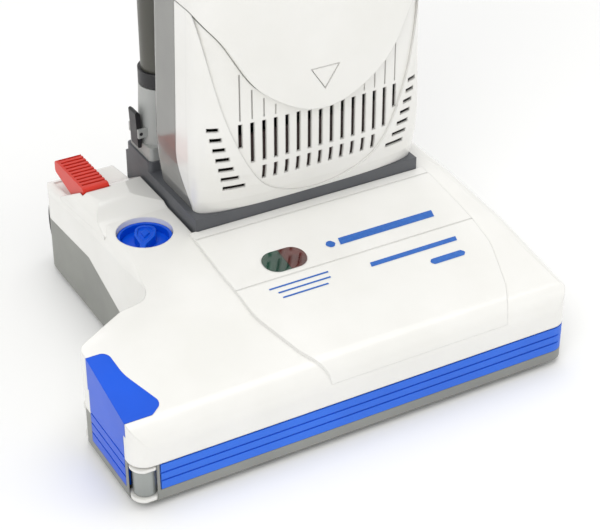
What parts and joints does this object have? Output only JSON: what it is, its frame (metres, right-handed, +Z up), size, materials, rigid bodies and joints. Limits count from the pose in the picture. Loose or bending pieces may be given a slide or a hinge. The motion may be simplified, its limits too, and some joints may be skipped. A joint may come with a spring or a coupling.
{
  "type": "upright vacuum cleaner",
  "caption": "Upright vacuum cleaner with a wide wheeled brush head, reclining grilled body, standing suction tube and telescopic handle.",
  "frame": {"origin": "on the floor, at the middle of the head's footprint", "axes": "+Z up, -Y to the front of the head, +X to the right seen from the front"},
  "size_m": [0.38, 0.35, 1.15],
  "materials": {
    "white_abs": "gloss moulded",
    "blue_abs": "gloss moulded",
    "blue_bumper": "satin elastomer",
    "dark_base": "satin moulded",
    "grey_side": "gloss moulded",
    "chassis_grey": "satin moulded",
    "light_grey": "satin moulded",
    "black_plastic": "satin moulded",
    "red_plastic": "gloss moulded",
    "tube_grey": "smooth extruded",
    "steel": "turned and plated",
    "steel_sheet": "stamped",
    "motor_can": "enamelled",
    "brass": "turned",
    "rubber": "moulded",
    "tyre": "moulded",
    "roller_plastic": "gloss moulded",
    "lens_green": "tinted polycarbonate",
    "lens_red": "tinted polycarbonate",
    "bristle": "nylon filament",
    "filter": "pleated fleece",
    "bag": "non-woven paper",
    "foam": "open-cell foam",
    "hose": "corrugated EVA",
    "belt": "toothed neoprene"
  },
  "bodies": {
    "head": {"chassis": "chassis_grey", "sole_plate": "steel_sheet", "top_cover": "white_abs", "bumper_strip": "blue_bumper", "roller_frames": "white_abs", "brush_hood": "black_plastic", "brush_bearings": "black_plastic", "drive_belt": "belt", "brush_motor": "motor_can", "suction_duct": "black_plastic", "lens_green": "lens_green", "lens_red": "lens_red", "rear_axles": "steel", "sole_screws": "steel", "pedal_pin": "steel", "pedal_spring": "steel"},
    "roller_front": {"roller_front": "roller_plastic"},
    "roller_rear": {"roller_rear": "roller_plastic"},
    "brush": {"brush_core": "light_grey", "brush_bristles": "bristle", "brush_pulley": "black_plastic"},
    "brush_drive": {"motor_shaft": "steel", "motor_pulley": "brass"},
    "end_cover": {"end_cover": "blue_abs"},
    "knob": {"height_knob": "blue_abs"},
    "carriage": {"wheel_carriage": "black_plastic"},
    "front_wheel_left": {"front_wheel_left": "black_plastic"},
    "front_wheel_right": {"front_wheel_right": "black_plastic"},
    "rear_wheel_left": {"wheel_left": "light_grey", "tyre_left": "tyre"},
    "rear_wheel_right": {"wheel_right": "light_grey", "tyre_right": "tyre"},
    "pedal": {"foot_pedal": "red_plastic"},
    "lock_pin": {"lock_pin": "steel"},
    "body": {"pivot_tray": "dark_base", "rear_housing": "grey_side", "front_shell": "white_abs", "top_cap": "white_abs", "suction_motor": "motor_can", "motor_mounts": "rubber", "motor_filter": "filter", "exhaust_filter": "foam", "dust_bag": "bag", "bag_collar": "light_grey", "cuff_socket": "light_grey", "handle_tube_lower": "steel", "cord_gland": "rubber", "housing_screws": "steel"},
    "fan": {"motor_fan": "black_plastic"},
    "door": {"bag_door": "white_abs"},
    "door_latch": {"door_latch": "white_abs"},
    "tube": {"suction_tube": "tube_grey", "tube_collar": "black_plastic", "top_hose": "hose"},
    "cuff_latch": {"cuff_latch": "black_plastic"},
    "clamp_ring": {"clamp_ring": "black_plastic"},
    "handle": {"handle_tube_upper": "steel", "handle_grip": "dark_base"},
    "rocker": {"power_rocker": "red_plastic"},
    "cord_hook": {"cord_hook": "black_plastic"}
  },
  "joints": [
    {"name": "front_roller_spin", "type": "hinge", "parent": "head", "child": "roller_front", "pos_m": [-0.1785, -0.1645, 0.0225], "axis": [0, 0, 1], "continuous": true},
    {"name": "rear_roller_spin", "type": "hinge", "parent": "head", "child": "roller_rear", "pos_m": [-0.1785, -0.0855, 0.0225], "axis": [0, 0, 1], "continuous": true},
    {"name": "motor_spin", "type": "hinge", "parent": "head", "child": "brush_drive", "pos_m": [0.15, -0.057, 0.05], "axis": [1, 0, 0], "continuous": true},
    {"name": "brush_spin", "type": "hinge", "parent": "head", "child": "brush", "pos_m": [0, -0.125, 0.036], "axis": [1, 0, 0], "continuous": true},
    {"name": "end_cover_pull", "type": "slide", "parent": "head", "child": "end_cover", "axis": [-1, 0, 0], "range_m": [0, 0.03]},
    {"name": "knob_turn", "type": "hinge", "parent": "head", "child": "knob", "pos_m": [-0.0874, 0.0212, 0.097], "axis": [0, 0, 1], "range_deg": [0, 270]},
    {"name": "carriage_lift", "type": "slide", "parent": "head", "child": "carriage", "axis": [0, 0, 1], "range_m": [0, 0.006]},
    {"name": "front_wheel_left_spin", "type": "hinge", "parent": "carriage", "child": "front_wheel_left", "pos_m": [-0.123, -0.072, 0.011], "axis": [1, 0, 0], "continuous": true},
    {"name": "front_wheel_right_spin", "type": "hinge", "parent": "carriage", "child": "front_wheel_right", "pos_m": [0.027, -0.072, 0.011], "axis": [1, 0, 0], "continuous": true},
    {"name": "rear_wheel_left_spin", "type": "hinge", "parent": "head", "child": "rear_wheel_left", "pos_m": [-0.102, 0.135, 0.04], "axis": [1, 0, 0], "continuous": true},
    {"name": "rear_wheel_right_spin", "type": "hinge", "parent": "head", "child": "rear_wheel_right", "pos_m": [0.175, 0.135, 0.04], "axis": [1, 0, 0], "continuous": true},
    {"name": "pedal_press", "type": "hinge", "parent": "head", "child": "pedal", "pos_m": [-0.0985, 0.096, 0.098], "axis": [-1, 0, 0], "range_deg": [0, 8], "stiffness_Nm_per_rad": 6, "springref_deg": -2.86},
    {"name": "lock_release", "type": "slide", "parent": "head", "child": "lock_pin", "axis": [-1, 0, 0], "range_m": [0, 0.004]},
    {"name": "body_recline", "type": "hinge", "parent": "head", "child": "body", "pos_m": [0.05, 0.085, 0.07], "axis": [-1, 0, 0], "range_deg": [0, 50]},
    {"name": "fan_spin", "type": "hinge", "parent": "body", "child": "fan", "pos_m": [0.05, 0.062, 0.228], "axis": [0, 0, 1], "continuous": true},
    {"name": "door_swing", "type": "hinge", "parent": "body", "child": "door", "pos_m": [0.05, -0.016, 0.5935], "axis": [-1, 0, 0], "range_deg": [0, 80]},
    {"name": "door_latch_press", "type": "slide", "parent": "door", "child": "door_latch", "axis": [0, 1, 0], "range_m": [0, 0.0025], "stiffness_N_per_m": 150, "springref_m": -0.004},
    {"name": "tube_lift", "type": "slide", "parent": "body", "child": "tube", "axis": [0, 0, 1], "range_m": [0, 0.03]},
    {"name": "cuff_latch_press", "type": "hinge", "parent": "body", "child": "cuff_latch", "pos_m": [-0.054, 0.103, 0.146], "axis": [0, -1, 0], "range_deg": [0, 8], "stiffness_Nm_per_rad": 0.2, "springref_deg": -5.73},
    {"name": "clamp_turn", "type": "hinge", "parent": "body", "child": "clamp_ring", "pos_m": [0.05, 0.1, 0.86], "axis": [0, 0, 1], "range_deg": [0, 60]},
    {"name": "handle_slide", "type": "slide", "parent": "body", "child": "handle", "axis": [0, 0, 1], "range_m": [-0.08, 0]},
    {"name": "rocker_tilt", "type": "hinge", "parent": "handle", "child": "rocker", "pos_m": [0.05, 0.082, 1.026], "axis": [1, 0, 0], "range_deg": [-5, 5]},
    {"name": "hook_swivel", "type": "hinge", "parent": "handle", "child": "cord_hook", "pos_m": [0.05, 0.1, 0.967], "axis": [0, 0, 1], "range_deg": [-90, 90]}
  ],
  "couplings": [
    {"joint": "motor_spin", "follows": "brush_spin", "ratio": 2.125},
    {"joint": "carriage_lift", "follows": "knob_turn", "m_per_rad": 0.0012732},
    {"joint": "lock_release", "follows": "pedal_press", "m_per_rad": 0.028648}
  ]
}
